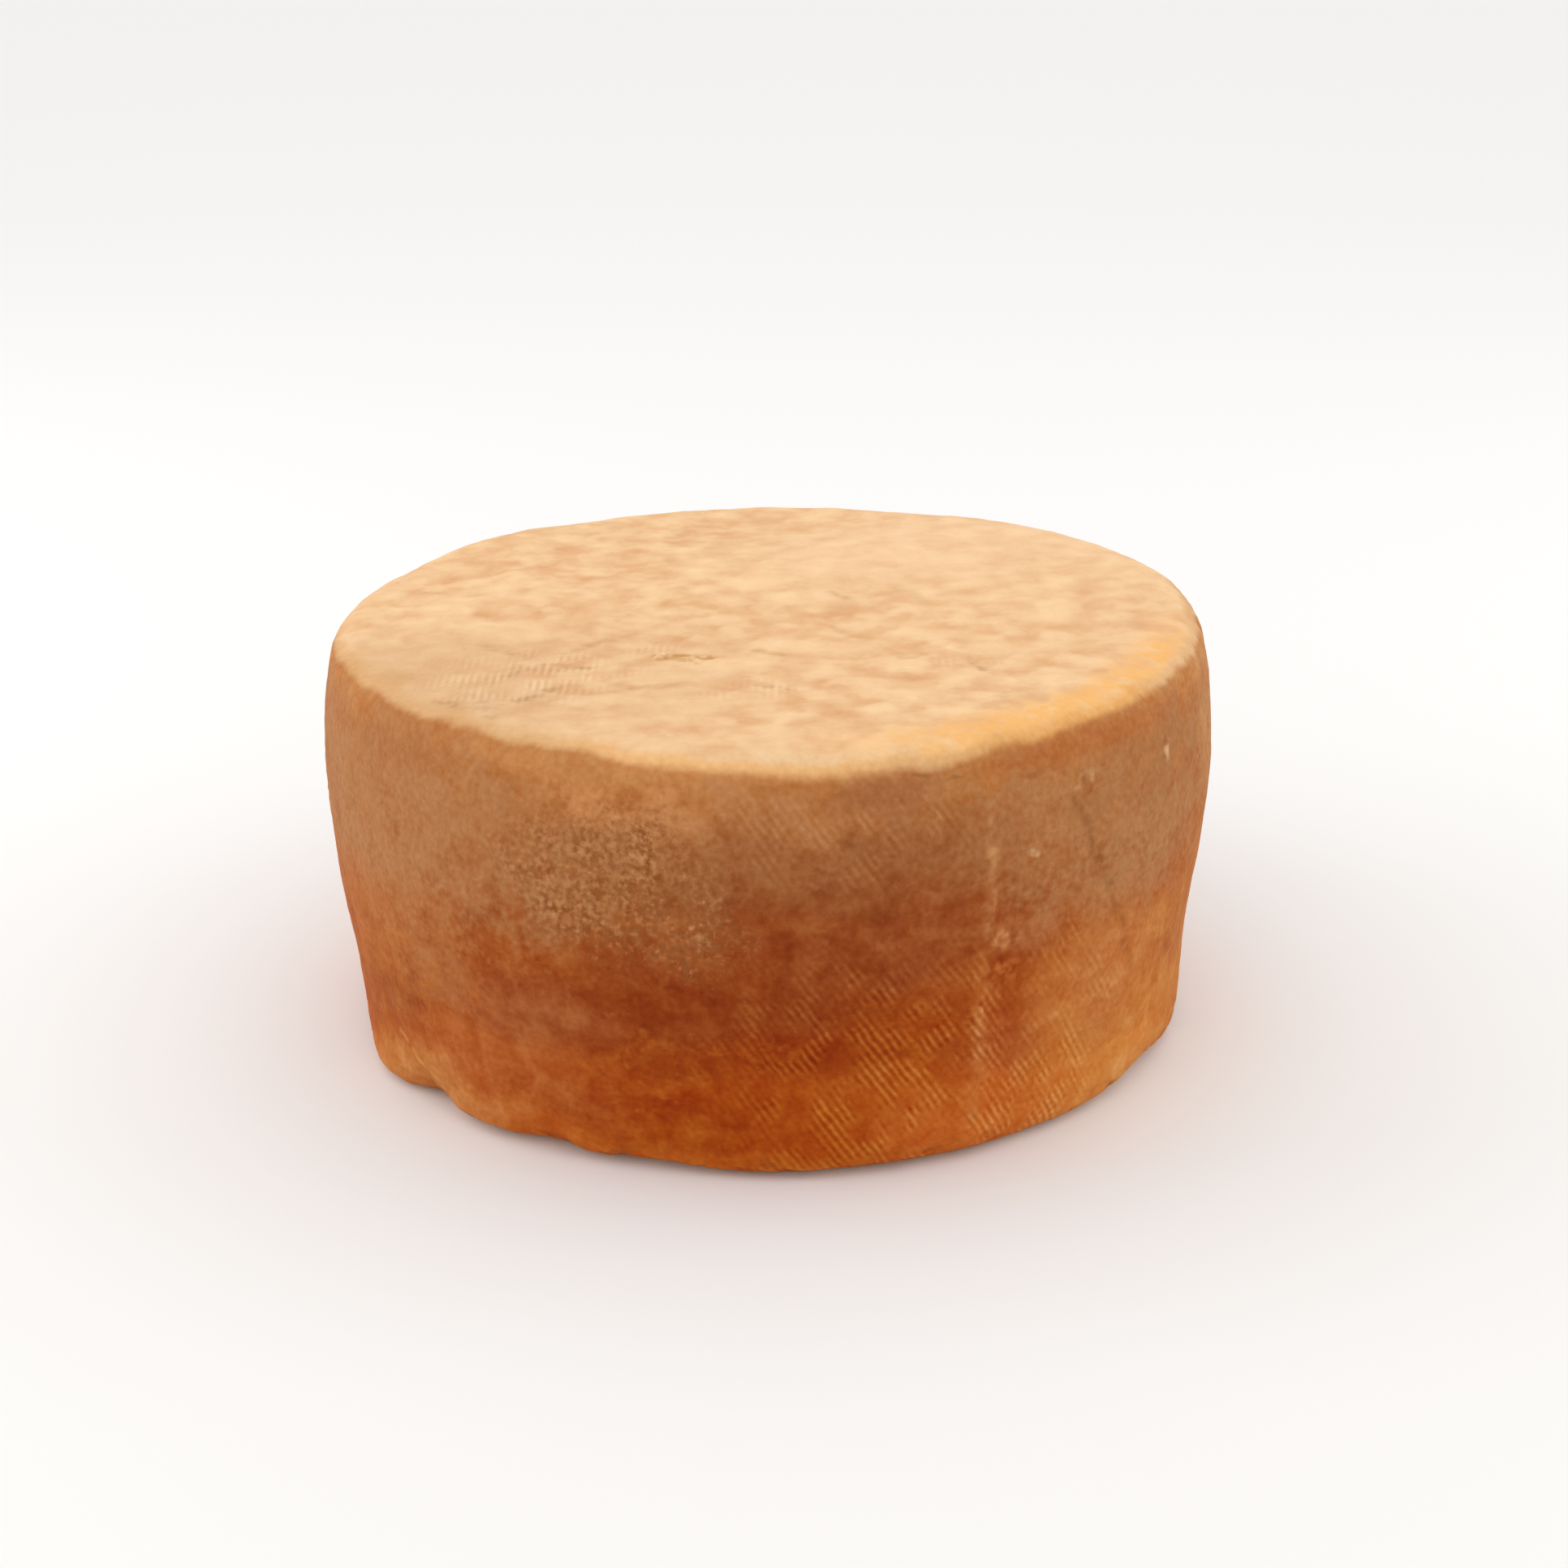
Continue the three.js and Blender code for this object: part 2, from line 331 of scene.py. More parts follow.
# Folds that the cloth raised or pressed in: (start, end, half width in mm, rise in mm, tint, strength). The
# dark tints of the sunk creases are partly the rind's brown and partly painted shade in their grooves.
FLANK_FOLDS = [
    (on_flank(26, 104), on_flank(26, 92), 3, 0.2, "#bd8452", 0.4),
    (on_flank(26.2, 92), on_flank(26, 70), 2.8, 0.28, "#c0854f", 0.55),
    (on_flank(25.5, 58), on_flank(25.5, 14), 3.2, 0.2, "#c07a42", 0.4),
    (on_flank(38, 101), on_flank(44.5, 72), 2.6, -0.1, "#8f5529", 0.65),
    (on_flank(44.5, 72), on_flank(51, 42), 2.6, -0.09, "#965728", 0.6),
    (on_flank(31.5, 90), on_flank(32.5, 88.5), 1.3, 0.3, "#e2b384", 0.9),
    # A ledge at the left of the foot: its light tint is a painted highlight along its edge.
    (on_flank(-55, 20), on_flank(-48, 10), 1.8, 0.25, "#cf8f50", 0.6),
    (on_flank(-77, 114), on_flank(-82, 60), 1.8, -0.2, "#99602f", 0.4),
    (on_flank(8, 100), on_flank(15, 94), 1.2, -0.2, "#8a4f26", 0.5),
    (on_flank(118, 108), on_flank(112, 40), 2, -0.4, "#8a4f26", 0.4),
    (on_flank(-150, 96), on_flank(-141, 30), 2, -0.4, "#8a4f26", 0.4),
]
# The top's wrinkles: their darker tints are partly the bloom's brown and partly painted shade in the
# wrinkles.
FACE_FOLDS = [
    (on_top(-66, -80), on_top(-57, -71), 3.5, -0.07, "#bf8f66", 0.68),
    (on_top(-80, -30), on_top(-70, -40), 3.2, -0.05, "#c8996c", 0.6),
    (on_top(-87, -77), on_top(-80, -84), 3.5, -0.07, "#c08e62", 0.68),
    (on_top(-75, -82), on_top(-71, -92), 5.4, -0.07, "#c99c76", 0.68),
    (on_top(-70, -58), on_top(-62, -50), 3, -0.05, "#c4976e", 0.6),
    (on_top(-58, -50), on_top(-50, -53), 2.7, -0.05, "#c08e62", 0.6),
    (on_top(-57, -40), on_top(-46, -28), 3.8, -0.06, "#cb9a68", 0.6),
    (on_top(-28, -40), on_top(-20, -46), 2.7, -0.07, "#bb8448", 0.68),
    (on_top(-36, -73), on_top(-24, -71), 3.2, -0.05, "#cda074", 0.52),
    (on_top(-21, 6), on_top(-11, -5), 4.1, -0.05, "#dba873", 0.6),
    (on_top(-2, -40), on_top(4, -45), 3.2, -0.06, "#cf9f6c", 0.6),
    (on_top(-2, -71), on_top(6, -77), 3.5, -0.06, "#c9986c", 0.6),
    (on_top(16, -16), on_top(27, -28), 4.1, -0.06, "#d8a673", 0.6),
    (on_top(19, 15), on_top(23, 10), 3.5, -0.06, "#cf9f6c", 0.6),
    (on_top(31, -36), on_top(39, -48), 4.1, -0.06, "#d2a271", 0.6),
    (on_top(38, 21), on_top(48, 2), 4.1, -0.05, "#dbad7c", 0.52),
    (on_top(55, -48), on_top(59, -61), 2.4, -0.06, "#bf906a", 0.6),
    (on_top(56, -93), on_top(68, -80), 3.5, -0.05, "#d8a877", 0.52),
]
# Picked and crumbled places: (middle, half sizes in mm, colour of the pits, colour of the lumps, strength).
# The pits' dark is partly painted shade and the lumps' pale partly painted light, over the crumbs' own
# colour.
CRUMBLED = [
    (on_flank(28.5, 57), (5, 5, 6), "#8c3b10", "#b8692f", 0.6),
    (on_flank(28.5, 67), (5, 5, 3), "#96501f", "#c8874f", 0.7),
    (on_flank(25, 46), (4, 4, 5), "#9c4518", "#b86a30", 0.6),
    (on_flank(56, 103), (1.8, 1.8, 4), "#8e5a30", "#ecc697", 0.8),
    (on_flank(58, 91), (2, 2, 4), "#8e5a30", "#ecc697", 0.7),
    (on_flank(40, 105), (5, 5, 3), "#93582f", "#cfa273", 0.4),
    (on_flank(-78, 74), (3, 3, 8), "#9a5c2e", "#dcb07c", 0.5),
    (on_flank(-49, 5), (5, 5, 4), "#7c3c14", "#c98a50", 0.6),
    (on_top(-28, -43), (4, 4, 5), "#c58d55", "#f1ca98", 0.7),
    (on_top(-18, -47), (6, 4, 5), "#c58d55", "#f1ca98", 0.7),
]
# Low swells and dents where the wheel settled while soft: (middle, half sizes in mm, rise in mm).
SETTLED = [
    (on_flank(186, TOP_MM, 112), (72, 34, 14), -1.8),
    (on_flank(112, 120, 118), (34, 34, 16), 0.9),
    (on_flank(-110, 120, 118), (26, 26, 16), -0.8),
    (on_flank(83, 30), (24, 24, 16), -1.3),
    (on_flank(-80, 7), (18, 18, 10), -1.2),
]
# Nicks in the foot's edge: (azimuth, half width in mm, half height in mm, rise in mm).
FOOT_NICKS = [
    (-51, 8, 7, -1.2),
    (-40, 7, 7, -1.1),
    (-31, 12, 7, -1.2),
    (-16, 11, 7, -1.5),
    (-8, 9, 7, -0.5),
    (10, 8, 7, -0.5),
    (19, 12, 7, -0.8),
    (34, 17, 7, -1.0),
    (47, 9, 7, -0.6),
    (59, 13, 8, -1.9),
]
NICK_HEIGHT_MM = 1
# The small relief: how far apart its marks lie, how far they rise, and how soft their borders are.
LUMP_MM = 9
LUMP_RISE_MM = 0.35
PEBBLE_MM = 3.4
PEBBLE_RISE_MM = 0.18
FACE_PEBBLES = 0.25
WRINKLE_MM = 26
WRINKLE_DEPTH_MM = 0.14
FOLD_WEAR_MM = 4
FOLD_CHIPS = 1.8
CRUMB_MM = 3
CRUMB_RISE_MM = 0.4
CRUMB_SOFTNESS = 0.5
SETTLED_SOFTNESS = 0.8
FOOT_CHIP_MM = 7
FOOT_CHIP_DEPTH_MM = 0.6

# How many steps over the mesh a spot's surroundings reach.
CREST_SPREAD = 25
SWELL_SPREAD = 150
FACING_SPREAD = 20


def spread_out(tree, field, spread):
    """The field's mean over each spot's surroundings."""
    taken = {"Value": field, "Iterations": spread}
    return add(tree, "GeometryNodeBlurAttribute", taken, data_type="FLOAT_VECTOR")


def stand_proud(tree, position, normal, spread):
    """How far, in millimetres, each spot stands out of its surroundings."""
    around = {0: position, 1: spread_out(tree, position, spread)}
    proud = add(tree, "ShaderNodeVectorMath", around, operation="SUBTRACT")
    return add(tree, "ShaderNodeVectorMath", {0: in_mm(tree, proud), 1: normal}, operation="DOT_PRODUCT")


def crumb_lumps(tree, place):
    """Rise and fall, within -1 and 1, of the crumbs that a picked rind shows."""
    noise = add(tree, "ShaderNodeTexNoise", {"Vector": place, "Scale": 1 / CRUMB_MM, "Detail": 1})
    full = {"Value": noise, "From Min": 0.35, "From Max": 0.65, "To Min": -1, "To Max": 1}
    return add(tree, "ShaderNodeMapRange", full)


def foot_chips(tree, place, facing):
    """1 where the foot's edge is chipped and 0 elsewhere."""
    height = add(tree, "ShaderNodeSeparateXYZ", {0: place}, "Z")
    low = add(tree, "ShaderNodeMapRange", {"Value": height, "From Min": 9, "From Max": 4})
    on_foot = add(tree, "ShaderNodeMath", {0: low, 1: off_base(tree, facing)}, operation="MULTIPLY")
    noise = add(tree, "ShaderNodeTexNoise", {"Vector": place, "Scale": 1 / FOOT_CHIP_MM, "Detail": 4})
    chips = add(tree, "ShaderNodeMapRange", {"Value": noise, "From Min": 0.52, "From Max": 0.66})
    return add(tree, "ShaderNodeMath", {0: on_foot, 1: chips}, operation="MULTIPLY")


def small_lumps(tree, place, facing):
    """Rise in millimetres of lumps and pebbles all over and wrinkles on the top. The base stays flat."""
    lumps = add(tree, "ShaderNodeTexNoise", {"Vector": place, "Scale": 1 / LUMP_MM, "Detail": 1})
    lump_range = {"Value": lumps, "To Min": -LUMP_RISE_MM, "To Max": LUMP_RISE_MM}
    rise = add(tree, "ShaderNodeMapRange", lump_range)
    pebbles = add(tree, "ShaderNodeTexNoise", {"Vector": place, "Scale": 1 / PEBBLE_MM})
    pebble_range = {"Value": pebbles, "To Min": -PEBBLE_RISE_MM, "To Max": PEBBLE_RISE_MM}
    pebble_rise = add(tree, "ShaderNodeMapRange", pebble_range)
    less = less_on_faces(tree, facing, FACE_PEBBLES)
    rise = add(tree, "ShaderNodeMath", {0: pebble_rise, 1: less, 2: rise}, operation="MULTIPLY_ADD")

    winding = {"Vector": place, "Scale": 1 / WRINKLE_MM, "Detail": 1, "Distortion": 0.6}
    wander = add(tree, "ShaderNodeTexNoise", winding)
    off_line = add(tree, "ShaderNodeMath", {0: wander, 1: 0.5}, operation="SUBTRACT")
    off_line = add(tree, "ShaderNodeMath", {0: off_line}, operation="ABSOLUTE")
    groove = {"Value": off_line, "From Max": 0.03, "To Min": -WRINKLE_DEPTH_MM, "To Max": 0}
    wrinkles = add(tree, "ShaderNodeMapRange", groove, interpolation_type="SMOOTHSTEP")
    on_face = add(tree, "ShaderNodeMapRange", {"Value": facing, "From Min": 0.8, "From Max": 0.98})
    rise = add(tree, "ShaderNodeMath", {0: wrinkles, 1: on_face, 2: rise}, operation="MULTIPLY_ADD")
    return add(tree, "ShaderNodeMath", {0: rise, 1: off_base(tree, facing)}, operation="MULTIPLY")


def raise_folds(tree, rise, place):
    """Adds the folds and creases, chipped along their length, to a rise."""
    chips = add(tree, "ShaderNodeTexNoise", {"Vector": place, "Scale": 1 / FOLD_WEAR_MM, "Detail": 2})
    uneven = {"Value": chips, "From Min": 0.35, "From Max": 0.65, "To Max": FOLD_CHIPS}
    chips = add(tree, "ShaderNodeMapRange", uneven)
    frayed = sway(tree, place, *FRAYED)
    for marked, folds in ((flank_place(tree, frayed), FLANK_FOLDS), (face_place(tree, frayed), FACE_FOLDS)):
        for start, end, half_width, fold_rise, _, _ in folds:
            mask = stripe(tree, marked, start, end, half_width)
            chipped = add(tree, "ShaderNodeMath", {0: mask, 1: chips}, operation="MULTIPLY")
            rise = add(tree, "ShaderNodeMath", {0: chipped, 1: fold_rise, 2: rise}, operation="MULTIPLY_ADD")
    return rise


def rind_relief():
    """Works the fine relief in along the normal, and keeps how far each spot stands proud and faces up."""
    tree = bpy.data.node_groups.new("rind relief", "GeometryNodeTree")
    tree.interface.new_socket("Geometry", in_out="INPUT", socket_type="NodeSocketGeometry")
    tree.interface.new_socket("Geometry", in_out="OUTPUT", socket_type="NodeSocketGeometry")
    smooth_mesh = add(tree, "NodeGroupInput")
    position = add(tree, "GeometryNodeInputPosition")
    normal = add(tree, "GeometryNodeInputNormal")
    place = in_mm(tree, position)
    facing = add(tree, "ShaderNodeSeparateXYZ", {0: spread_out(tree, normal, FACING_SPREAD)}, "Z")

    rise = raise_folds(tree, small_lumps(tree, place, facing), place)
    lumps = crumb_lumps(tree, place)
    lump_rise = add(tree, "ShaderNodeMath", {0: lumps, 1: CRUMB_RISE_MM}, operation="MULTIPLY")
    for middle, half_size, _, _, _ in CRUMBLED:
        mask = spot(tree, place, middle, half_size, CRUMB_SOFTNESS)
        rise = add(tree, "ShaderNodeMath", {0: mask, 1: lump_rise, 2: rise}, operation="MULTIPLY_ADD")
    nicks = [
        (on_flank(azimuth, NICK_HEIGHT_MM, FOOT_MM), (wide, wide, high), nick_rise)
        for azimuth, wide, high, nick_rise in FOOT_NICKS
    ]
    for middle, half_size, settled_rise in SETTLED + nicks:
        mask = spot(tree, place, middle, half_size, SETTLED_SOFTNESS)
        rise = add(tree, "ShaderNodeMath", {0: mask, 1: settled_rise, 2: rise}, operation="MULTIPLY_ADD")
    chipped = foot_chips(tree, place, facing)
    sunk = {0: chipped, 1: -FOOT_CHIP_DEPTH_MM, 2: rise}
    rise = add(tree, "ShaderNodeMath", sunk, operation="MULTIPLY_ADD")

    in_metres = add(tree, "ShaderNodeMath", {0: rise, 1: MM}, operation="MULTIPLY")
    offset = add(tree, "ShaderNodeVectorMath", {0: normal, "Scale": in_metres}, operation="SCALE")
    mesh = add(tree, "GeometryNodeSetPosition", {"Geometry": smooth_mesh, "Offset": offset})
    # How far each spot stands proud, which the finish turns into painted shade in hollows and painted light
    # on crests.
    fields = {
        "crest": stand_proud(tree, position, normal, CREST_SPREAD),
        "swell": stand_proud(tree, position, normal, SWELL_SPREAD),
        "facing": facing,
    }
    for name, field in fields.items():
        stored = {"Geometry": mesh, "Name": name, "Value": field}
        mesh = add(tree, "GeometryNodeStoreNamedAttribute", stored)
    add(tree, "NodeGroupOutput", {"Geometry": mesh})
    return tree


# Materials

# Colour of the bare rind: (height in mm, colour), foot to rim.
BARE_RIND = [
    (0, "#bb5a15"), (12, "#b75713"), (25, "#ae4b0c"), (45, "#a3480c"),
    (65, "#a0501d"), (85, "#a25b2a"), (105, "#ac6935"), (115, "#b8743c"),
]
# Areas of the bare rind: (middle, half sizes in mm, softness, colour, strength).
BARE_STAINS = [
    (on_flank(11, 74), (38, 38, 18), 0.4, "#96491e", 0.9),
    (on_flank(-8, 50), (46, 46, 18), 0.6, "#8e3c10", 0.9),
    (on_flank(6, 37), (50, 50, 7), 0.6, "#9a3d07", 0.7),
    (on_flank(-14, 18), (44, 44, 10), 0.5, "#a04005", 0.95),
    (on_flank(16, 26), (26, 26, 9), 0.6, "#b35715", 0.7),
    (on_flank(10, 11), (34, 34, 10), 0.5, "#ac4c0c", 0.8),
    (on_flank(6, 92), (44, 44, 11), 0.5, "#955229", 0.8),
    (on_flank(52, 27), (46, 46, 34), 0.4, "#c57831", 0.95),
    (on_flank(78, 36), (34, 34, 40), 0.8, "#c17831", 0.8),
    (on_flank(47, 10), (34, 34, 12), 0.5, "#d0823a", 0.85),
    (on_flank(29, 36), (14, 14, 14), 0.6, "#a54f20", 0.7),
    (on_flank(27, 12), (26, 26, 14), 0.5, "#c56725", 0.8),
    (on_flank(-66, 46), (54, 54, 30), 0.5, "#a45c29", 0.9),
    (on_flank(-33, 44), (26, 26, 11), 0.5, "#a1562a", 0.8),
    (on_flank(-36, 22), (34, 34, 14), 0.6, "#b05d28", 0.7),
    (on_flank(-64, 30), (18, 18, 12), 0.6, "#a7551c", 0.6),
    (on_flank(31, 66), (8, 8, 7), 0.6, "#ac683a", 0.7),
    (on_flank(-52, 9), (28, 28, 10), 0.5, "#c07b3e", 0.85),
    (on_flank(150, 40), (60, 60, 26), 0.6, "#994515", 0.8),
    (on_flank(118, 24), (54, 54, 28), 0.7, "#b7682a", 0.8),
    (on_flank(-130, 20), (60, 60, 26), 0.6, "#c2702f", 0.8),
    (on_flank(46, 44), (20, 20, 18), 0.6, "#bb7039", 0.7),
    (on_flank(-60, 88), (50, 50, 22), 0.6, "#a96a3a", 0.7),
    (on_flank(63, 42), (17, 17, 14), 0.6, "#b0642a", 0.9),
    (on_flank(-45, 54), (13, 13, 12), 0.6, "#a8683a", 0.6),
]
# The brine's level streaks, longer than they are high, and the rind's patches.
STREAK_MM = 3.5
STREAK_STRETCH = (0.12, 0.12, 0.8)
STREAK_DEPTH = 0.15
PATCH_MM = 8
PATCH_DEPTH = 0.32
# How much of the rind the dry bloom hides: (height in mm, share), foot to rim.
BLOOM_HEIGHTS = [(0, 0.16), (50, 0.22), (65, 0.3), (85, 0.46), (105, 0.54), (115, 0.4)]
# Areas where it differs: (middle, half sizes in mm, softness, share).
BLOOM_AREAS = [
    (on_flank(-64, 78), (60, 60, 34), 0.5, 0.62),
    (on_flank(-28, 54), (28, 28, 9), 0.5, 0.24),
    (on_flank(9, 67), (52, 52, 24), 0.25, 0.08),
    (on_flank(8, 99), (40, 40, 10), 0.5, 0.46),
    (on_flank(-18, 86), (30, 30, 18), 0.3, 0.6),
    (on_flank(-9, 77), (15, 15, 12), 0.3, 0.4),
    (on_flank(-15, 59), (18, 18, 11), 0.5, 0.06),
    (on_flank(49, 83), (34, 34, 26), 0.6, 0.66),
    (on_flank(-160, 62), (50, 50, 26), 0.5, 0.25),
    (on_flank(108, 76), (60, 60, 34), 0.5, 0.65),
]
# How softly the bloom's edges fade.
BLOOM_FADE = 0.9
BLOOM_GRAIN_MM = 2.4
BLOOM_PATCH_MM = 10
# Colour of the bloom: (height in mm, colour), foot to rim, and its areas as for the bare rind. The lighter
# areas at the right edge, (86, 78) and (82, 106), are partly the bloom's tan and partly painted sheen.
BLOOM = [(40, "#b8601e"), (75, "#ae7547")]
BLOOM_STAINS_AND_EDGE_SHEEN = [
    (on_flank(6, 93), (44, 44, 13), 0.6, "#9f6036", 0.9),
    (on_flank(0, 110), (34, 34, 8), 0.6, "#b7794c", 0.8),
    (on_flank(54, 103), (32, 32, 14), 0.6, "#a66d3f", 0.9),
    (on_flank(-17, 108), (24, 24, 9), 0.6, "#cb8852", 0.9),
    (on_flank(86, 78), (38, 38, 44), 0.6, "#ba8044", 0.9),
    (on_flank(82, 106), (24, 24, 16), 0.6, "#c49058", 0.8),
]
# Where the bloom has shrunk to grains with dark cracks: (middle, half sizes in mm, softness, strength).
GRAINY_AREAS = [
    (on_flank(-18, 85), (32, 32, 20), 0.4, 1),
    (on_flank(-9, 74), (16, 16, 14), 0.3, 1),
]
GRAIN_MM = 1.6
GRAINY_PATCH_MM = 9
CRACK_TONE = "#8e5128"
GRAIN_TONE = "#c99263"


def lay_stains(tree, colour, place, stains):
    """Lays a table's areas over the colour, each over those before it."""
    for middle, half_size, softness, stain, strength in stains:
        mask = spot(tree, place, middle, half_size, softness)
        faint = add(tree, "ShaderNodeMath", {0: mask, 1: strength}, operation="MULTIPLY")
        stained = {"Factor": faint, "A": colour, "B": linear(stain)}
        colour = add(tree, "ShaderNodeMix", stained, data_type="RGBA")
    return colour


def tint_folds_with_painted_light(tree, colour, place, wear, folds):
    """Tints a table's folds, less where they are worn. Dark tints in creases are partly painted shade, and a
    light tint along a ledge is a painted highlight.
    """
    for start, end, half_width, _, tint, strength in folds:
        mask = stripe(tree, place, start, end, half_width)
        worn = add(tree, "ShaderNodeMath", {0: mask, 1: wear}, operation="MULTIPLY")
        faint = add(tree, "ShaderNodeMath", {0: worn, 1: strength}, operation="MULTIPLY")
        tinted = {"Factor": faint, "A": colour, "B": linear(tint)}
        colour = add(tree, "ShaderNodeMix", tinted, data_type="RGBA")
    return colour


def height_share(tree, place):
    """Height as a share of the wheel's, which the colour ramps by height read."""
    height = add(tree, "ShaderNodeSeparateXYZ", {0: place}, "Z")
    return add(tree, "ShaderNodeMapRange", {"Value": height, "From Max": HEIGHT_MM})


def by_height(rows):
    """A ramp's stops from rows of heights in millimetres."""
    return [(height / HEIGHT_MM, tone) for height, tone in rows]


def bare_rind(tree, place, ragged):
    """The washed rind under the bloom, with faint level streaks from the brine."""
    colour = add(tree, "ShaderNodeValToRGB", {0: height_share(tree, ragged)}, stops=by_height(BARE_RIND))
    colour = lay_stains(tree, colour, ragged, BARE_STAINS)
    stretched = add(tree, "ShaderNodeVectorMath", {0: ragged, 1: STREAK_STRETCH}, operation="MULTIPLY")
    streaks = add(tree, "ShaderNodeTexNoise", {"Vector": stretched, "Scale": 1 / STREAK_MM, "Detail": 3})
    streak_range = {"Value": streaks, "To Min": 1 + STREAK_DEPTH, "To Max": 1 - STREAK_DEPTH}
    deeper = add(tree, "ShaderNodeMapRange", streak_range)
    colour = add(tree, "ShaderNodeGamma", {"Color": colour, "Gamma": deeper})
    cloudy = {"Vector": place, "Scale": 1 / PATCH_MM, "Detail": 4, "Distortion": 0.5}
    patches = add(tree, "ShaderNodeTexNoise", cloudy)
    patch_range = {"Value": patches, "To Min": 1 + PATCH_DEPTH, "To Max": 1 - PATCH_DEPTH}
    deeper = add(tree, "ShaderNodeMapRange", patch_range)
    return add(tree, "ShaderNodeGamma", {"Color": colour, "Gamma": deeper})


def bloom_cover(tree, place, ragged):
    """How much the bloom hides: sparse grains where its share is low, and sparse gaps where it is high."""
    cover = add(tree, "ShaderNodeValToRGB", {0: height_share(tree, ragged)}, stops=by_height(BLOOM_HEIGHTS))
    for middle, half_size, softness, area_cover in BLOOM_AREAS:
        mask = spot(tree, ragged, middle, half_size, softness)
        cover = add(tree, "ShaderNodeMix", {"Factor": mask, "A": cover, "B": area_cover})
    grains = add(tree, "ShaderNodeTexNoise", {"Vector": place, "Scale": 1 / BLOOM_GRAIN_MM, "Detail": 3})
    patches = add(tree, "ShaderNodeTexNoise", {"Vector": place, "Scale": 1 / BLOOM_PATCH_MM, "Detail": 3})
    both = add(tree, "ShaderNodeMix", {"Factor": 0.5, "A": grains, "B": patches})
    level = add(tree, "ShaderNodeMapRange", {"Value": both, "From Min": 0.64, "From Max": 0.36})
    full = add(tree, "ShaderNodeMath", {0: cover, 1: 1 + BLOOM_FADE}, operation="MULTIPLY")
    none = add(tree, "ShaderNodeMath", {0: full, 1: BLOOM_FADE}, operation="SUBTRACT")
    return add(tree, "ShaderNodeMapRange", {"Value": level, "From Min": full, "From Max": none})


def crack_bloom(tree, colour, place, ragged):
    """Shrinks the bloom to pale grains with dark cracks between them, in uneven patches."""
    patches = add(tree, "ShaderNodeTexNoise", {"Vector": place, "Scale": 1 / GRAINY_PATCH_MM, "Detail": 2})
    uneven = {"Value": patches, "From Min": 0.4, "From Max": 0.6, "To Min": 0.5, "To Max": 1.1}
    shrunk = {0: strongest(tree, ragged, GRAINY_AREAS), 1: add(tree, "ShaderNodeMapRange", uneven)}
    shrunk = add(tree, "ShaderNodeMath", shrunk, operation="MULTIPLY")
    grains = add(tree, "ShaderNodeTexNoise", {"Vector": place, "Scale": 1 / GRAIN_MM, "Detail": 3})
    low = {"Value": grains, "From Min": 0.55, "From Max": 0.38}
    high = {"Value": grains, "From Min": 0.56, "From Max": 0.72, "To Max": 0.5}
    for level, tone in ((low, CRACK_TONE), (high, GRAIN_TONE)):
        mask = add(tree, "ShaderNodeMapRange", level)
        share = add(tree, "ShaderNodeMath", {0: mask, 1: shrunk}, operation="MULTIPLY")
        toned = {"Factor": share, "A": colour, "B": linear(tone)}
        colour = add(tree, "ShaderNodeMix", toned, data_type="RGBA")
    return colour


def lay_bloom(tree, colour, place, ragged):
    """Dry grey-tan bloom over the bare rind, shrunk to grains at the left of the front."""
    bloom = add(tree, "ShaderNodeValToRGB", {0: height_share(tree, ragged)}, stops=by_height(BLOOM))
    # The bloom's own stains, with painted sheen at the right edge.
    bloom = lay_stains(tree, bloom, ragged, BLOOM_STAINS_AND_EDGE_SHEEN)
    covered = {"Factor": bloom_cover(tree, place, ragged), "A": colour, "B": bloom}
    colour = add(tree, "ShaderNodeMix", covered, data_type="RGBA")
    return crack_bloom(tree, colour, place, ragged)


# The draining cloth's threads lean to the left on the flank, and run from front to back on the top.
THREAD_MM = 2.1
CROSS_THREAD_MM = 2.7
CROSS_SHARE = 0.15
CLOTH_LEAN = math.radians(34)
# How the cloth was pulled and kinked, as for the borders.
PULLED = (24, 2, 2)
KINKED = (4, 1.1, 2)
PRINT_WEAR_MM = 8
# Where the print has stayed: (middle, half sizes in mm, softness, strength).
FLANK_PRINTS = [
    (on_flank(14, 30), (42, 42, 34), 0.5, 1),
    (on_flank(32, 16), (26, 26, 18), 0.5, 1),
    (on_flank(42, 42), (14, 14, 12), 0.5, 0.4),
    (on_flank(35, 58), (8, 8, 8), 0.5, 0.6),
    (on_flank(10, 101), (34, 34, 12), 0.5, 0.35),
    (on_flank(-160, 34), (60, 60, 30), 0.5, 0.8),
]
FACE_PRINTS = [
    (on_top(-64, -60), (24, 20, 9), 0.5, 0.6),
    (on_top(-4, -76), (14, 8, 9), 0.5, 0.3),
    (on_top(52, -54), (12, 7, 9), 0.5, 0.25),
    (on_top(-30, -38), (7, 6, 9), 0.5, 0.3),
]


def flank_threads(tree, turn, height, lean, pitch):
    """Waves across one set of threads. A whole number of them goes round, so that they meet at the back."""
    around = round(2 * math.pi * FLANK_MM * math.cos(lean) / pitch)
    steepness = 2 * math.pi * math.sin(lean) / pitch
    climb = add(tree, "ShaderNodeMath", {0: height, 1: steepness}, operation="MULTIPLY")
    phase = add(tree, "ShaderNodeMath", {0: turn, 1: around, 2: climb}, operation="MULTIPLY_ADD")
    return add(tree, "ShaderNodeMath", {0: phase}, operation="SINE")


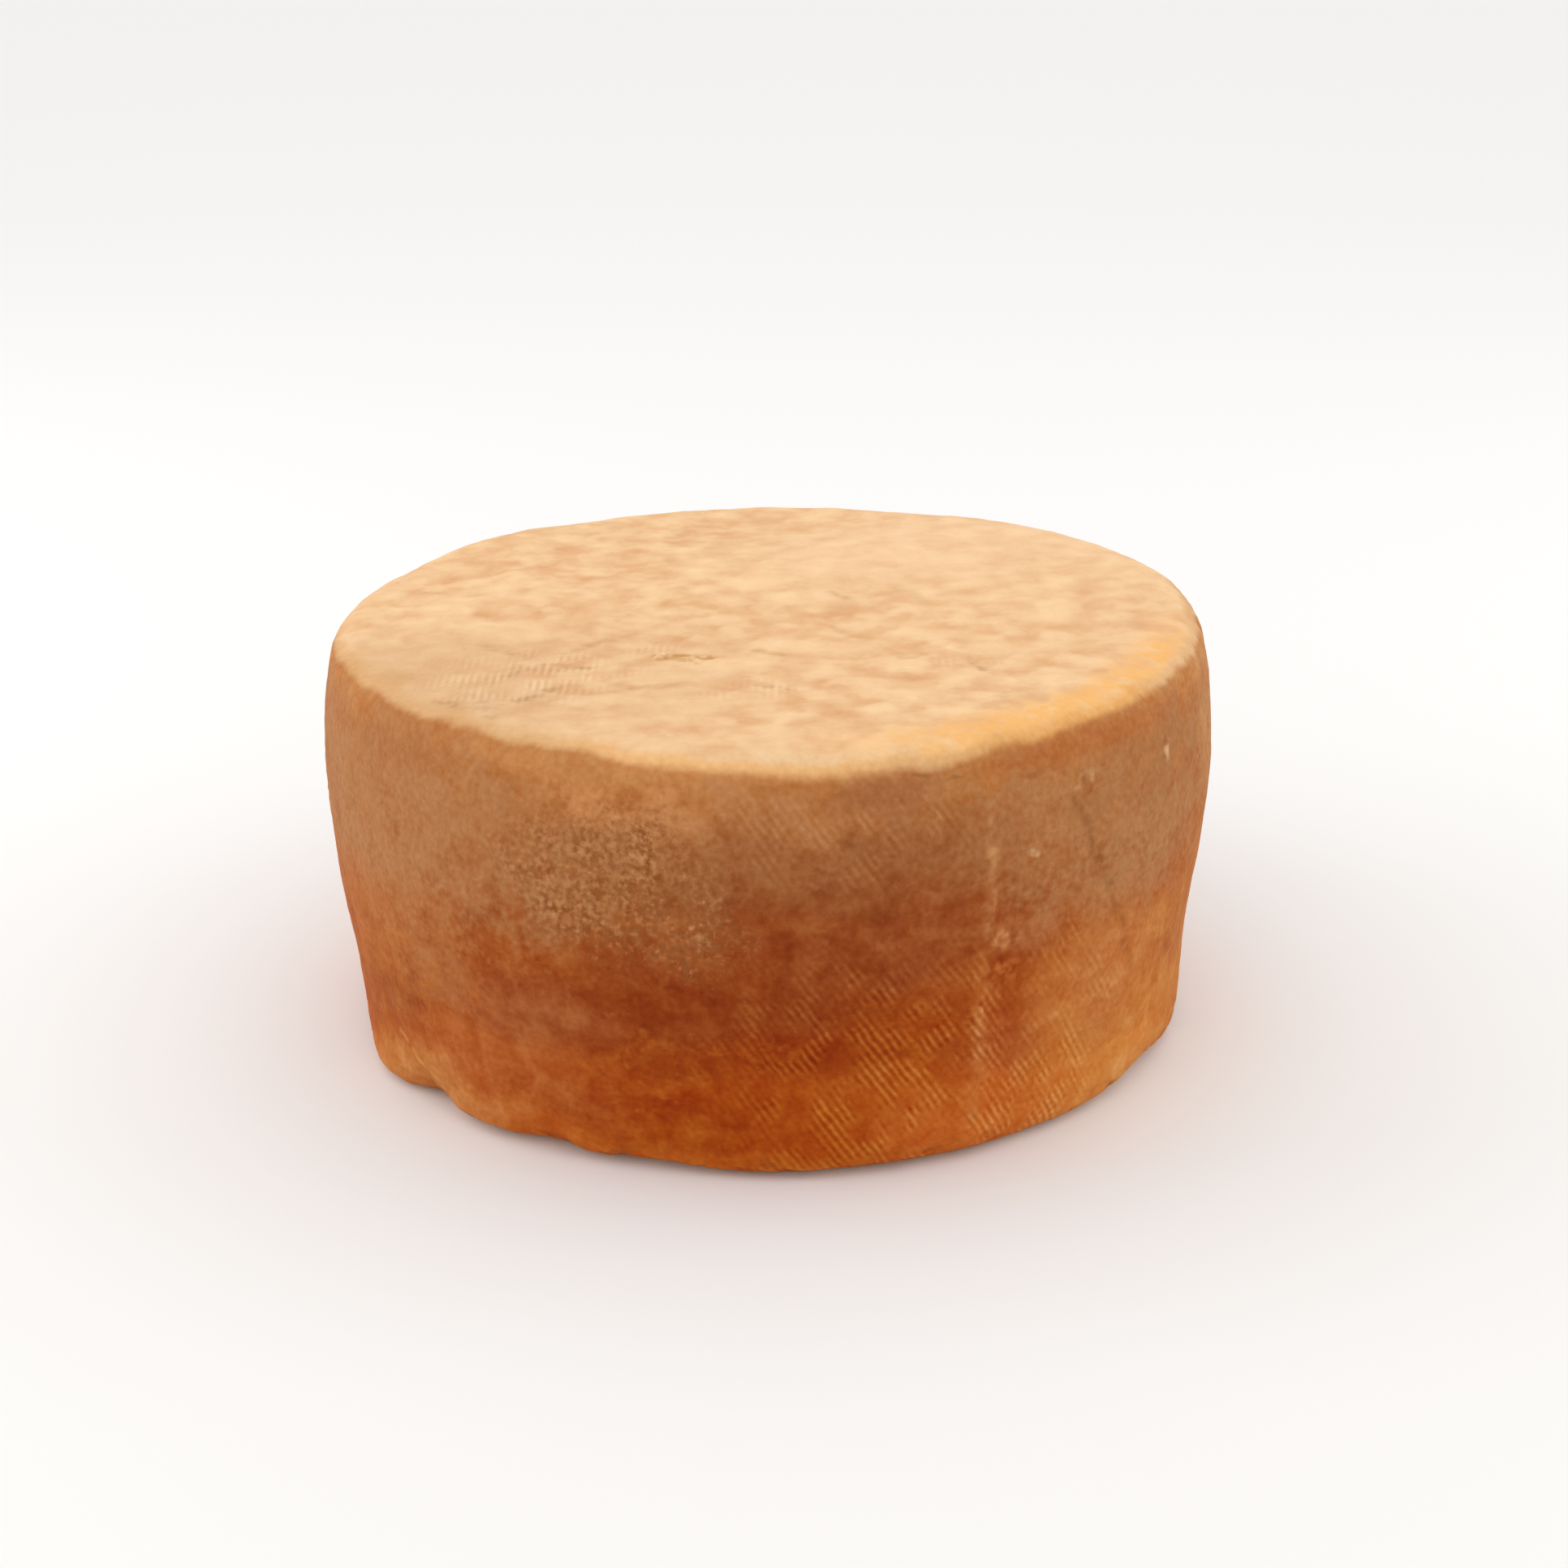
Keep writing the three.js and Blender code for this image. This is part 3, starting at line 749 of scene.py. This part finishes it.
def flank_weave(tree, place):
    """Waves of the cloth that lay round the flank, stronger along its threads than across them."""
    x = add(tree, "ShaderNodeSeparateXYZ", {0: place}, "X")
    y = add(tree, "ShaderNodeSeparateXYZ", {0: place}, "Y")
    height = add(tree, "ShaderNodeSeparateXYZ", {0: place}, "Z")
    forward = add(tree, "ShaderNodeMath", {0: y, 1: -1}, operation="MULTIPLY")
    turn = add(tree, "ShaderNodeMath", {0: x, 1: forward}, operation="ARCTAN2")
    threads = flank_threads(tree, turn, height, CLOTH_LEAN, THREAD_MM)
    cross_threads = flank_threads(tree, turn, height, CLOTH_LEAN - math.pi / 2, CROSS_THREAD_MM)
    return add(tree, "ShaderNodeMix", {"Factor": CROSS_SHARE, "A": threads, "B": cross_threads})


def cloth_print(tree, place, ragged, facing):
    """Rise and fall, within -1 and 1, of the draining cloth's threads where their print has stayed."""
    pulled = sway(tree, place, *PULLED)
    weave = flank_weave(tree, sway(tree, pulled, *KINKED))
    wear = add(tree, "ShaderNodeTexNoise", {"Vector": place, "Scale": 1 / PRINT_WEAR_MM, "Detail": 5})
    worn = {"Value": wear, "From Min": 0.46, "From Max": 0.6, "To Min": 0.1, "To Max": 1.3}
    kept = add(tree, "ShaderNodeMapRange", worn)
    flank_share = strongest(tree, flank_place(tree, ragged), FLANK_PRINTS)
    flank_share = add(tree, "ShaderNodeMath", {0: flank_share, 1: kept}, operation="MULTIPLY")
    on_flank_share = add(tree, "ShaderNodeMapRange", {"Value": facing, "From Min": -0.95, "From Max": -0.7})
    flank_share = add(tree, "ShaderNodeMath", {0: flank_share, 1: on_flank_share}, operation="MULTIPLY")
    flank_print = add(tree, "ShaderNodeMath", {0: weave, 1: flank_share}, operation="MULTIPLY")

    x = add(tree, "ShaderNodeSeparateXYZ", {0: pulled}, "X")
    across = add(tree, "ShaderNodeMath", {0: x, 1: 2 * math.pi / THREAD_MM}, operation="MULTIPLY")
    face_threads = add(tree, "ShaderNodeMath", {0: across}, operation="SINE")
    face_share = strongest(tree, face_place(tree, ragged), FACE_PRINTS)
    face_share = add(tree, "ShaderNodeMath", {0: face_share, 1: kept}, operation="MULTIPLY")
    both = {0: face_threads, 1: face_share, 2: flank_print}
    return add(tree, "ShaderNodeMath", both, operation="MULTIPLY_ADD")


# Stains of the flank just under the rim, and the flecks there, in the same order as the bare rind's.
RIM_STAINS = [
    (on_flank(41, 115), (34, 34, 4), 0.6, "#ad6230", 0.8),
    (on_flank(-4, 117.5), (34, 34, 2.5), 0.6, "#c58049", 0.6),
    (on_flank(-49, 111), (24, 24, 8), 0.6, "#a96a3b", 0.7),
    (on_flank(-28, 115), (22, 22, 3), 0.5, "#bd7b45", 0.6),
    (on_flank(13, 111), (13, 13, 4.5), 0.6, "#a06036", 0.7),
    (on_flank(18, 114.5), (2, 2, 0.6), 0.8, "#8f5226", 0.7),
    (on_flank(22, 112.5), (2, 2, 0.6), 0.8, "#8f5226", 0.7),
    (on_flank(32, 110.5), (3, 3, 0.8), 0.8, "#8f5226", 0.5),
]
# Colour of the rim where it turns into the top: the same, over one even tone. The band is partly the rind's
# own gold and partly a painted highlight, which is brightest in the pale gold at the front, (-4, 120).
RIM_TONE = "#d6a570"
RIM_GOLDS_AND_HIGHLIGHT = [
    (on_flank(40, 120), (38, 38, 30), 0.5, "#e3a25a", 0.9),
    (on_flank(68, 120), (30, 30, 30), 0.5, "#deae7c", 0.8),
    (on_flank(-4, 120), (42, 42, 30), 0.5, "#efb574", 0.85),
]
# How much further that colour comes down the flank, or how much less: (azimuth, half width in mm, softness,
# reach as a share of how far the rind faces up). It comes furthest down at the front, which carries the
# painted highlight lower.
RIM_REACHES = [
    (9, 30, 0.6, 0.22),
    (22, 9, 0.6, 0.1),
    (35, 7, 0.6, 0.06),
    (-25, 12, 0.6, -0.1),
    (-54, 50, 0.5, -0.17),
    (-86, 18, 0.6, 0.1),
]
REACH_HEIGHT_MM = 119
REACH_HALF_HEIGHT_MM = 20
RIM_BORDER_MM = 12
RIM_BORDER_REACH = 0.2
# Colours of the top from its hollows to its crests: (level, colour). The darker end is painted shade in the
# hollows and the paler end painted light on the crests, as well as the bloom's own dark and pale blotches.
FACE_TONES = [(0, "#dca574"), (0.5, "#ebc090"), (1, "#f5cfa0")]
PALE_TONE = "#f4cd9e"
# Pale patches of the top: (x, y, half size along x, half size along y), in mm.
PALE_PATCHES = [
    (52, 47, 13, 8),
    (48, -27, 8, 5),
    (63, -44, 9, 5),
    (81, -13, 10, 7),
    (15, -37, 15, 6),
    (-10, -52, 13, 6),
    (-71, -19, 9, 8),
    (-3, 25, 8, 8),
    (11, 9, 12, 5),
]
# Areas of the top, in the same order as the bare rind's.
FACE_STAINS = [
    (on_top(-55, -62), (52, 44, 9), 0.6, "#d8ac82", 0.3),
    (on_top(50, 60), (60, 50, 9), 0.6, "#f1ca9f", 0.5),
    *[(on_top(x, y), (half_x, half_y, 9), 0.6, PALE_TONE, 0.6) for x, y, half_x, half_y in PALE_PATCHES],
    (on_top(-66, -66), (8, 5, 9), 0.6, "#f2cb9e", 0.6),
    (on_top(-51, -63), (8, 4, 9), 0.6, "#f2cb9e", 0.6),
    (on_top(-23, -45), (8, 2.5, 4), 0.6, "#c99a5c", 0.6),
    (on_flank(-55, TOP_MM, 119), (44, 44, 9), 0.5, "#dbb083", 0.6),
    (on_flank(-61, TOP_MM, 118), (7, 7, 9), 0.6, "#cf9e68", 0.7),
    (on_flank(-45, TOP_MM, 119), (6, 6, 9), 0.6, "#cf9e6a", 0.5),
]
# How much the swells, the crests, the blotches and the flakes of the bloom lighten the top. On the swells
# and the crests this is painted light, and painted shade in the hollows between.
SWELL_SHARE = 0.6
CREST_SHARE = 0.55
BLOTCH_MM = 10
BLOTCH_SHARES = (-1.5, 0.9)
FLAKE_MM = 9
FLAKE_SHARE = 0.5
# The rough place at the left front of the top: (middle, half sizes in mm, softness), and how many times
# stronger its marks are.
ROUGH_PLACE = (on_top(-64, -66), (28, 24, 9), 0.5)
ROUGH_SHARE = 2.2
# How the top's edge and its stains wander, as for the other borders.
EDGE_RAGGED = (9, 12, 4)
FACE_RAGGED = (5, 4, 2)
# Where handling has rubbed the top's edge down to its gold: (middle, half sizes in mm, softness).
RUBBED_PLACE = (on_flank(46, TOP_MM, RIM_MM), (66, 66, 30), 0.4)
RUBBED_TONE = "#f2b468"
RUBBED_FLAKE_MM = 5


def top_tone_and_painted_shade(tree, place, ragged, radius, crest, swell):
    """How light the top is: about -1 where it is dark, and 1 where it is pale. The swells and the crests
    give painted light on the pillows and painted shade in the hollows between, and the blotches and flakes
    are the bloom's own tone.
    """
    off_rim = add(tree, "ShaderNodeMapRange", {"Value": radius, "From Min": 118, "From Max": 98})
    swell = add(tree, "ShaderNodeMath", {0: swell, 1: off_rim}, operation="MULTIPLY")
    swell = add(tree, "ShaderNodeMath", {0: swell, 1: SWELL_SHARE}, operation="MULTIPLY")
    blotches = add(tree, "ShaderNodeTexNoise", {"Vector": place, "Scale": 1 / BLOTCH_MM, "Detail": 3})
    blotch_range = {"Value": blotches, "To Min": BLOTCH_SHARES[0], "To Max": BLOTCH_SHARES[1]}
    blotches = add(tree, "ShaderNodeMapRange", blotch_range)
    flakes = add(tree, "ShaderNodeTexNoise", {"Vector": place, "Scale": 1 / FLAKE_MM, "Detail": 1})
    flake_range = {"Value": flakes, "From Min": 0.46, "From Max": 0.66, "To Max": FLAKE_SHARE}
    flakes = add(tree, "ShaderNodeMapRange", flake_range)
    marks = add(tree, "ShaderNodeMath", {0: blotches, 1: flakes}, operation="ADD")
    rough = spot(tree, face_place(tree, ragged), *ROUGH_PLACE)
    rough = add(tree, "ShaderNodeMapRange", {"Value": rough, "To Min": 1, "To Max": ROUGH_SHARE})
    level = add(tree, "ShaderNodeMath", {0: marks, 1: rough, 2: swell}, operation="MULTIPLY_ADD")
    return add(tree, "ShaderNodeMath", {0: crest, 1: CREST_SHARE, 2: level}, operation="MULTIPLY_ADD")


def face_colour(tree, place, ragged, crest, swell):
    """The pale dry bloom of the top and of the underside, a little darker in the hollows and paler on the
    crests, which is painted shade and painted light.
    """
    radius = radius_of(tree, sway(tree, place, *EDGE_RAGGED))
    level = top_tone_and_painted_shade(tree, place, ragged, radius, crest, swell)
    proud = add(tree, "ShaderNodeMapRange", {"Value": level, "From Min": -1, "From Max": 1})
    colour = add(tree, "ShaderNodeValToRGB", {0: proud}, stops=FACE_TONES)
    colour = lay_stains(tree, colour, face_place(tree, sway(tree, place, *FACE_RAGGED)), FACE_STAINS)

    rubbed = spot(tree, ragged, *RUBBED_PLACE)
    edge = {"Value": radius, "From Min": 109, "From Max": 118, "To Max": 0.9}
    near_rim = add(tree, "ShaderNodeMapRange", edge)
    golden = add(tree, "ShaderNodeMath", {0: rubbed, 1: near_rim}, operation="MULTIPLY")
    flakes = add(tree, "ShaderNodeTexNoise", {"Vector": place, "Scale": 1 / RUBBED_FLAKE_MM, "Detail": 3})
    flaked = {"Value": flakes, "From Min": 0.35, "From Max": 0.55, "To Min": 0.3}
    flakes = add(tree, "ShaderNodeMapRange", flaked)
    golden = add(tree, "ShaderNodeMath", {0: golden, 1: flakes}, operation="MULTIPLY")
    gilded = {"Factor": golden, "A": colour, "B": linear(RUBBED_TONE)}
    return add(tree, "ShaderNodeMix", gilded, data_type="RGBA")


def lay_rim_and_faces(tree, colour, face, place, ragged, facing):
    """Turns the flank's colour into the rim's and then into the top's, with a frayed border."""
    noise = add(tree, "ShaderNodeTexNoise", {"Vector": place, "Scale": 1 / RIM_BORDER_MM, "Detail": 3})
    frayed = {"Value": noise, "To Min": -RIM_BORDER_REACH, "To Max": RIM_BORDER_REACH}
    reach = add(tree, "ShaderNodeMapRange", frayed)
    edge = {"Value": radius_of(tree, place), "From Min": 112, "From Max": 122}
    near_rim = add(tree, "ShaderNodeMapRange", edge)
    for azimuth, wide, softness, further in RIM_REACHES:
        middle = on_flank(azimuth, REACH_HEIGHT_MM, RIM_MM)
        mask = spot(tree, place, middle, (wide, wide, REACH_HALF_HEIGHT_MM), softness)
        mask = add(tree, "ShaderNodeMath", {0: mask, 1: near_rim}, operation="MULTIPLY")
        reach = add(tree, "ShaderNodeMath", {0: mask, 1: further, 2: reach}, operation="MULTIPLY_ADD")
    upward = add(tree, "ShaderNodeMath", {0: facing, 1: reach}, operation="ADD")

    turned = {"Value": upward, "From Min": 0.5, "From Max": 0.74}
    on_rim = add(tree, "ShaderNodeMapRange", turned, interpolation_type="SMOOTHSTEP")
    # The rim's own gold, with a painted highlight at the front.
    rim = lay_stains(tree, linear(RIM_TONE), flank_place(tree, ragged), RIM_GOLDS_AND_HIGHLIGHT)
    colour = add(tree, "ShaderNodeMix", {"Factor": on_rim, "A": colour, "B": rim}, data_type="RGBA")

    level = {"Value": upward, "From Min": 0.72, "From Max": 0.96}
    over_rim = add(tree, "ShaderNodeMapRange", level, interpolation_type="SMOOTHSTEP")
    on_base = add(tree, "ShaderNodeMath", {0: 1, 1: off_base(tree, facing)}, operation="SUBTRACT")
    on_face = add(tree, "ShaderNodeMath", {0: over_rim, 1: on_base}, operation="MAXIMUM")
    return add(tree, "ShaderNodeMix", {"Factor": on_face, "A": colour, "B": face}, data_type="RGBA")


# The chips' dark colour along the foot's edge is partly painted shade where the wheel meets the floor.
CHIP_TONE = "#8a3f14"
CHIP_STRENGTH = 0.6


def lay_crumbs_with_painted_shade(tree, colour, place, facing):
    """Dark pits and pale lumps where the rind is picked, and dark chips along the foot. The pits and chips
    are partly painted shade and the lumps partly painted light, over their own colours.
    """
    lumps = crumb_lumps(tree, place)
    lump = add(tree, "ShaderNodeMapRange", {"Value": lumps, "From Min": 0.1})
    pit = add(tree, "ShaderNodeMapRange", {"Value": lumps, "From Min": -0.1, "From Max": -1})
    for middle, half_size, pit_tone, lump_tone, strength in CRUMBLED:
        mask = spot(tree, place, middle, half_size, CRUMB_SOFTNESS)
        strong = add(tree, "ShaderNodeMath", {0: mask, 1: strength}, operation="MULTIPLY")
        for side, tone in ((pit, pit_tone), (lump, lump_tone)):
            share = add(tree, "ShaderNodeMath", {0: side, 1: strong}, operation="MULTIPLY")
            toned = {"Factor": share, "A": colour, "B": linear(tone)}
            colour = add(tree, "ShaderNodeMix", toned, data_type="RGBA")
    chipped = foot_chips(tree, place, facing)
    faint = add(tree, "ShaderNodeMath", {0: chipped, 1: CHIP_STRENGTH}, operation="MULTIPLY")
    toned = {"Factor": faint, "A": colour, "B": linear(CHIP_TONE)}
    return add(tree, "ShaderNodeMix", toned, data_type="RGBA")


# Such a rind's own grain is about 0.3 mm, too fine to show in the render, so it is drawn this coarse.
RIND_GRAIN_MM = 1.8
# How much the grain, the crests and the cloth's print lighten the rind, less on the top, and how much that
# changes its warmth and its light. This is painted light on their high spots and painted shade in their low
# spots, and on the grain and the print also their own tone.
GRAIN_SHADE = 0.55
CREST_SHADE = 0.26
PRINT_SHADE = 0.26
FACE_SHADE = 0.35
SHADE_WARMTH = 0.3
SHADE_LIGHT = 0.1
# How far the grain and the print stand out, too fine for the mesh.
GRAIN_BUMP_MM = 0.15
PRINT_BUMP_MM = 0.08


def shade_relief(tree, colour, fine, crest, print_rise, facing):
    """Paints shade into low spots, making them warmer and darker, and light onto high spots, making them
    paler.
    """
    off_mean = add(tree, "ShaderNodeMath", {0: fine, 1: 0.5}, operation="SUBTRACT")
    shade = add(tree, "ShaderNodeMath", {0: off_mean, 1: GRAIN_SHADE}, operation="MULTIPLY")
    shade = add(tree, "ShaderNodeMath", {0: crest, 1: CREST_SHADE, 2: shade}, operation="MULTIPLY_ADD")
    less = less_on_faces(tree, facing, FACE_SHADE)
    shade = add(tree, "ShaderNodeMath", {0: shade, 1: less}, operation="MULTIPLY")
    shade = add(tree, "ShaderNodeMath", {0: print_rise, 1: PRINT_SHADE, 2: shade}, operation="MULTIPLY_ADD")
    span = {"Value": shade, "From Min": -0.5, "From Max": 0.5}
    warmth = {**span, "To Min": 1 + SHADE_WARMTH, "To Max": 1 - SHADE_WARMTH}
    warmth = add(tree, "ShaderNodeMapRange", warmth)
    colour = add(tree, "ShaderNodeGamma", {"Color": colour, "Gamma": warmth})
    light = {**span, "To Min": 1 - SHADE_LIGHT, "To Max": 1 + SHADE_LIGHT}
    light = add(tree, "ShaderNodeMapRange", light)
    return add(tree, "ShaderNodeHueSaturation", {"Value": light, "Color": colour})


def natural_rind():
    """Natural washed cheese rind, pressed in cloth, washed with brine and dried by air.

    It gives the eye a dry, nearly matt skin. The flank is rust-brown where the brine kept it moist, under a
    grey-tan bloom that cracks into grains where it has dried most. The top and the underside are pale, and
    the threads' print shows where the rind lay hard against the cloth.
    """
    material = bpy.data.materials.new("natural washed cheese rind, pressed in cloth")
    material.use_nodes = True
    tree = material.node_tree
    shader = tree.nodes["Principled BSDF"]
    place = in_mm(tree, add(tree, "ShaderNodeTexCoord", give="Object"))
    ragged = sway(tree, place, *RAGGED)
    frayed = sway(tree, place, *FRAYED)
    crest = add(tree, "ShaderNodeAttribute", give="Fac", attribute_name="crest")
    swell = add(tree, "ShaderNodeAttribute", give="Fac", attribute_name="swell")
    facing = add(tree, "ShaderNodeAttribute", give="Fac", attribute_name="facing")
    wear = add(tree, "ShaderNodeTexNoise", {"Vector": place, "Scale": 1 / FOLD_WEAR_MM, "Detail": 2})
    wear = add(tree, "ShaderNodeMapRange", {"Value": wear, "From Min": 0.4, "From Max": 0.6, "To Min": 0.2})

    colour = lay_bloom(tree, bare_rind(tree, place, ragged), place, ragged)
    colour = tint_folds_with_painted_light(tree, colour, flank_place(tree, frayed), wear, FLANK_FOLDS)
    colour = lay_stains(tree, colour, flank_place(tree, frayed), RIM_STAINS)
    face = face_colour(tree, place, ragged, crest, swell)
    face = tint_folds_with_painted_light(tree, face, face_place(tree, frayed), wear, FACE_FOLDS)
    colour = lay_rim_and_faces(tree, colour, face, place, ragged, facing)
    colour = lay_crumbs_with_painted_shade(tree, colour, place, facing)
    print_rise = cloth_print(tree, place, ragged, facing)
    fine = add(tree, "ShaderNodeTexNoise", {"Vector": place, "Scale": 1 / RIND_GRAIN_MM, "Detail": 3})
    # Painted shade in the low spots and painted light on the high spots of the grain, the crests and the
    # print.
    colour = shade_relief(tree, colour, fine, crest, print_rise, facing)

    grain_range = {"Value": fine, "To Min": -GRAIN_BUMP_MM, "To Max": GRAIN_BUMP_MM}
    grain = add(tree, "ShaderNodeMapRange", grain_range)
    both = {0: print_rise, 1: PRINT_BUMP_MM, 2: grain}
    bump_height = add(tree, "ShaderNodeMath", both, operation="MULTIPLY_ADD")
    bump = add(tree, "ShaderNodeBump", {"Height": bump_height, "Distance": MM})
    tree.links.new(colour, shader.inputs["Base Color"])
    tree.links.new(bump, shader.inputs["Normal"])
    shader.inputs["Roughness"].default_value = 0.7
    shader.inputs["Specular IOR Level"].default_value = 0.08
    return material


def floor_paper():
    """Matt studio paper, rolled out. It gives the eye an even pale ground with no shine."""
    material = bpy.data.materials.new("matt white studio paper")
    material.use_nodes = True
    shader = material.node_tree.nodes["Principled BSDF"]
    shader.inputs["Base Color"].default_value = linear("#f3f2f0")
    shader.inputs["Roughness"].default_value = 0.9
    return material


# Studio

FLOOR_SIZE = 30
# Soft lights: (name, place, size in metres, power in watts).
SOFTBOXES = [
    ("light tent ceiling", (0, 0, 3), 30, 1750),
    ("left softbox", (-1.2, 0.1, 0.5), 0.9, 4),
    ("right softbox", (1.2, 0.1, 0.5), 0.9, 2.5),
]
ROOM_LIGHT = 0.4


def add_softbox(name, place, size, power):
    """A square soft light at a place, facing the wheel."""
    bpy.ops.object.light_add(type="AREA", location=place)
    light = bpy.context.object
    light.name = name
    light.data.shape = "SQUARE"
    light.data.size = size
    light.data.energy = power
    light.rotation_euler = (TARGET - Vector(place)).to_track_quat("-Z", "Y").to_euler()


def make_studio():
    """A pale paper floor under a light tent, with a weak softbox at each side."""
    bpy.ops.object.select_all(action="DESELECT")
    bpy.ops.mesh.primitive_plane_add(size=FLOOR_SIZE)
    floor = bpy.context.object
    floor.name = "floor"
    floor.data.materials.append(floor_paper())

    for name, place, size, power in SOFTBOXES:
        add_softbox(name, place, size, power)

    world = bpy.data.worlds.new("white studio")
    world.use_nodes = True
    background = world.node_tree.nodes["Background"]
    background.inputs["Color"].default_value = (1, 1, 1, 1)
    background.inputs["Strength"].default_value = ROOM_LIGHT
    bpy.context.scene.world = world
    bpy.context.scene.view_settings.view_transform = "Standard"


make_camera()
rind = make_rind()
rind.data.materials.append(natural_rind())
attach(rind, "root")
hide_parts("cheese_wheel")
make_studio()
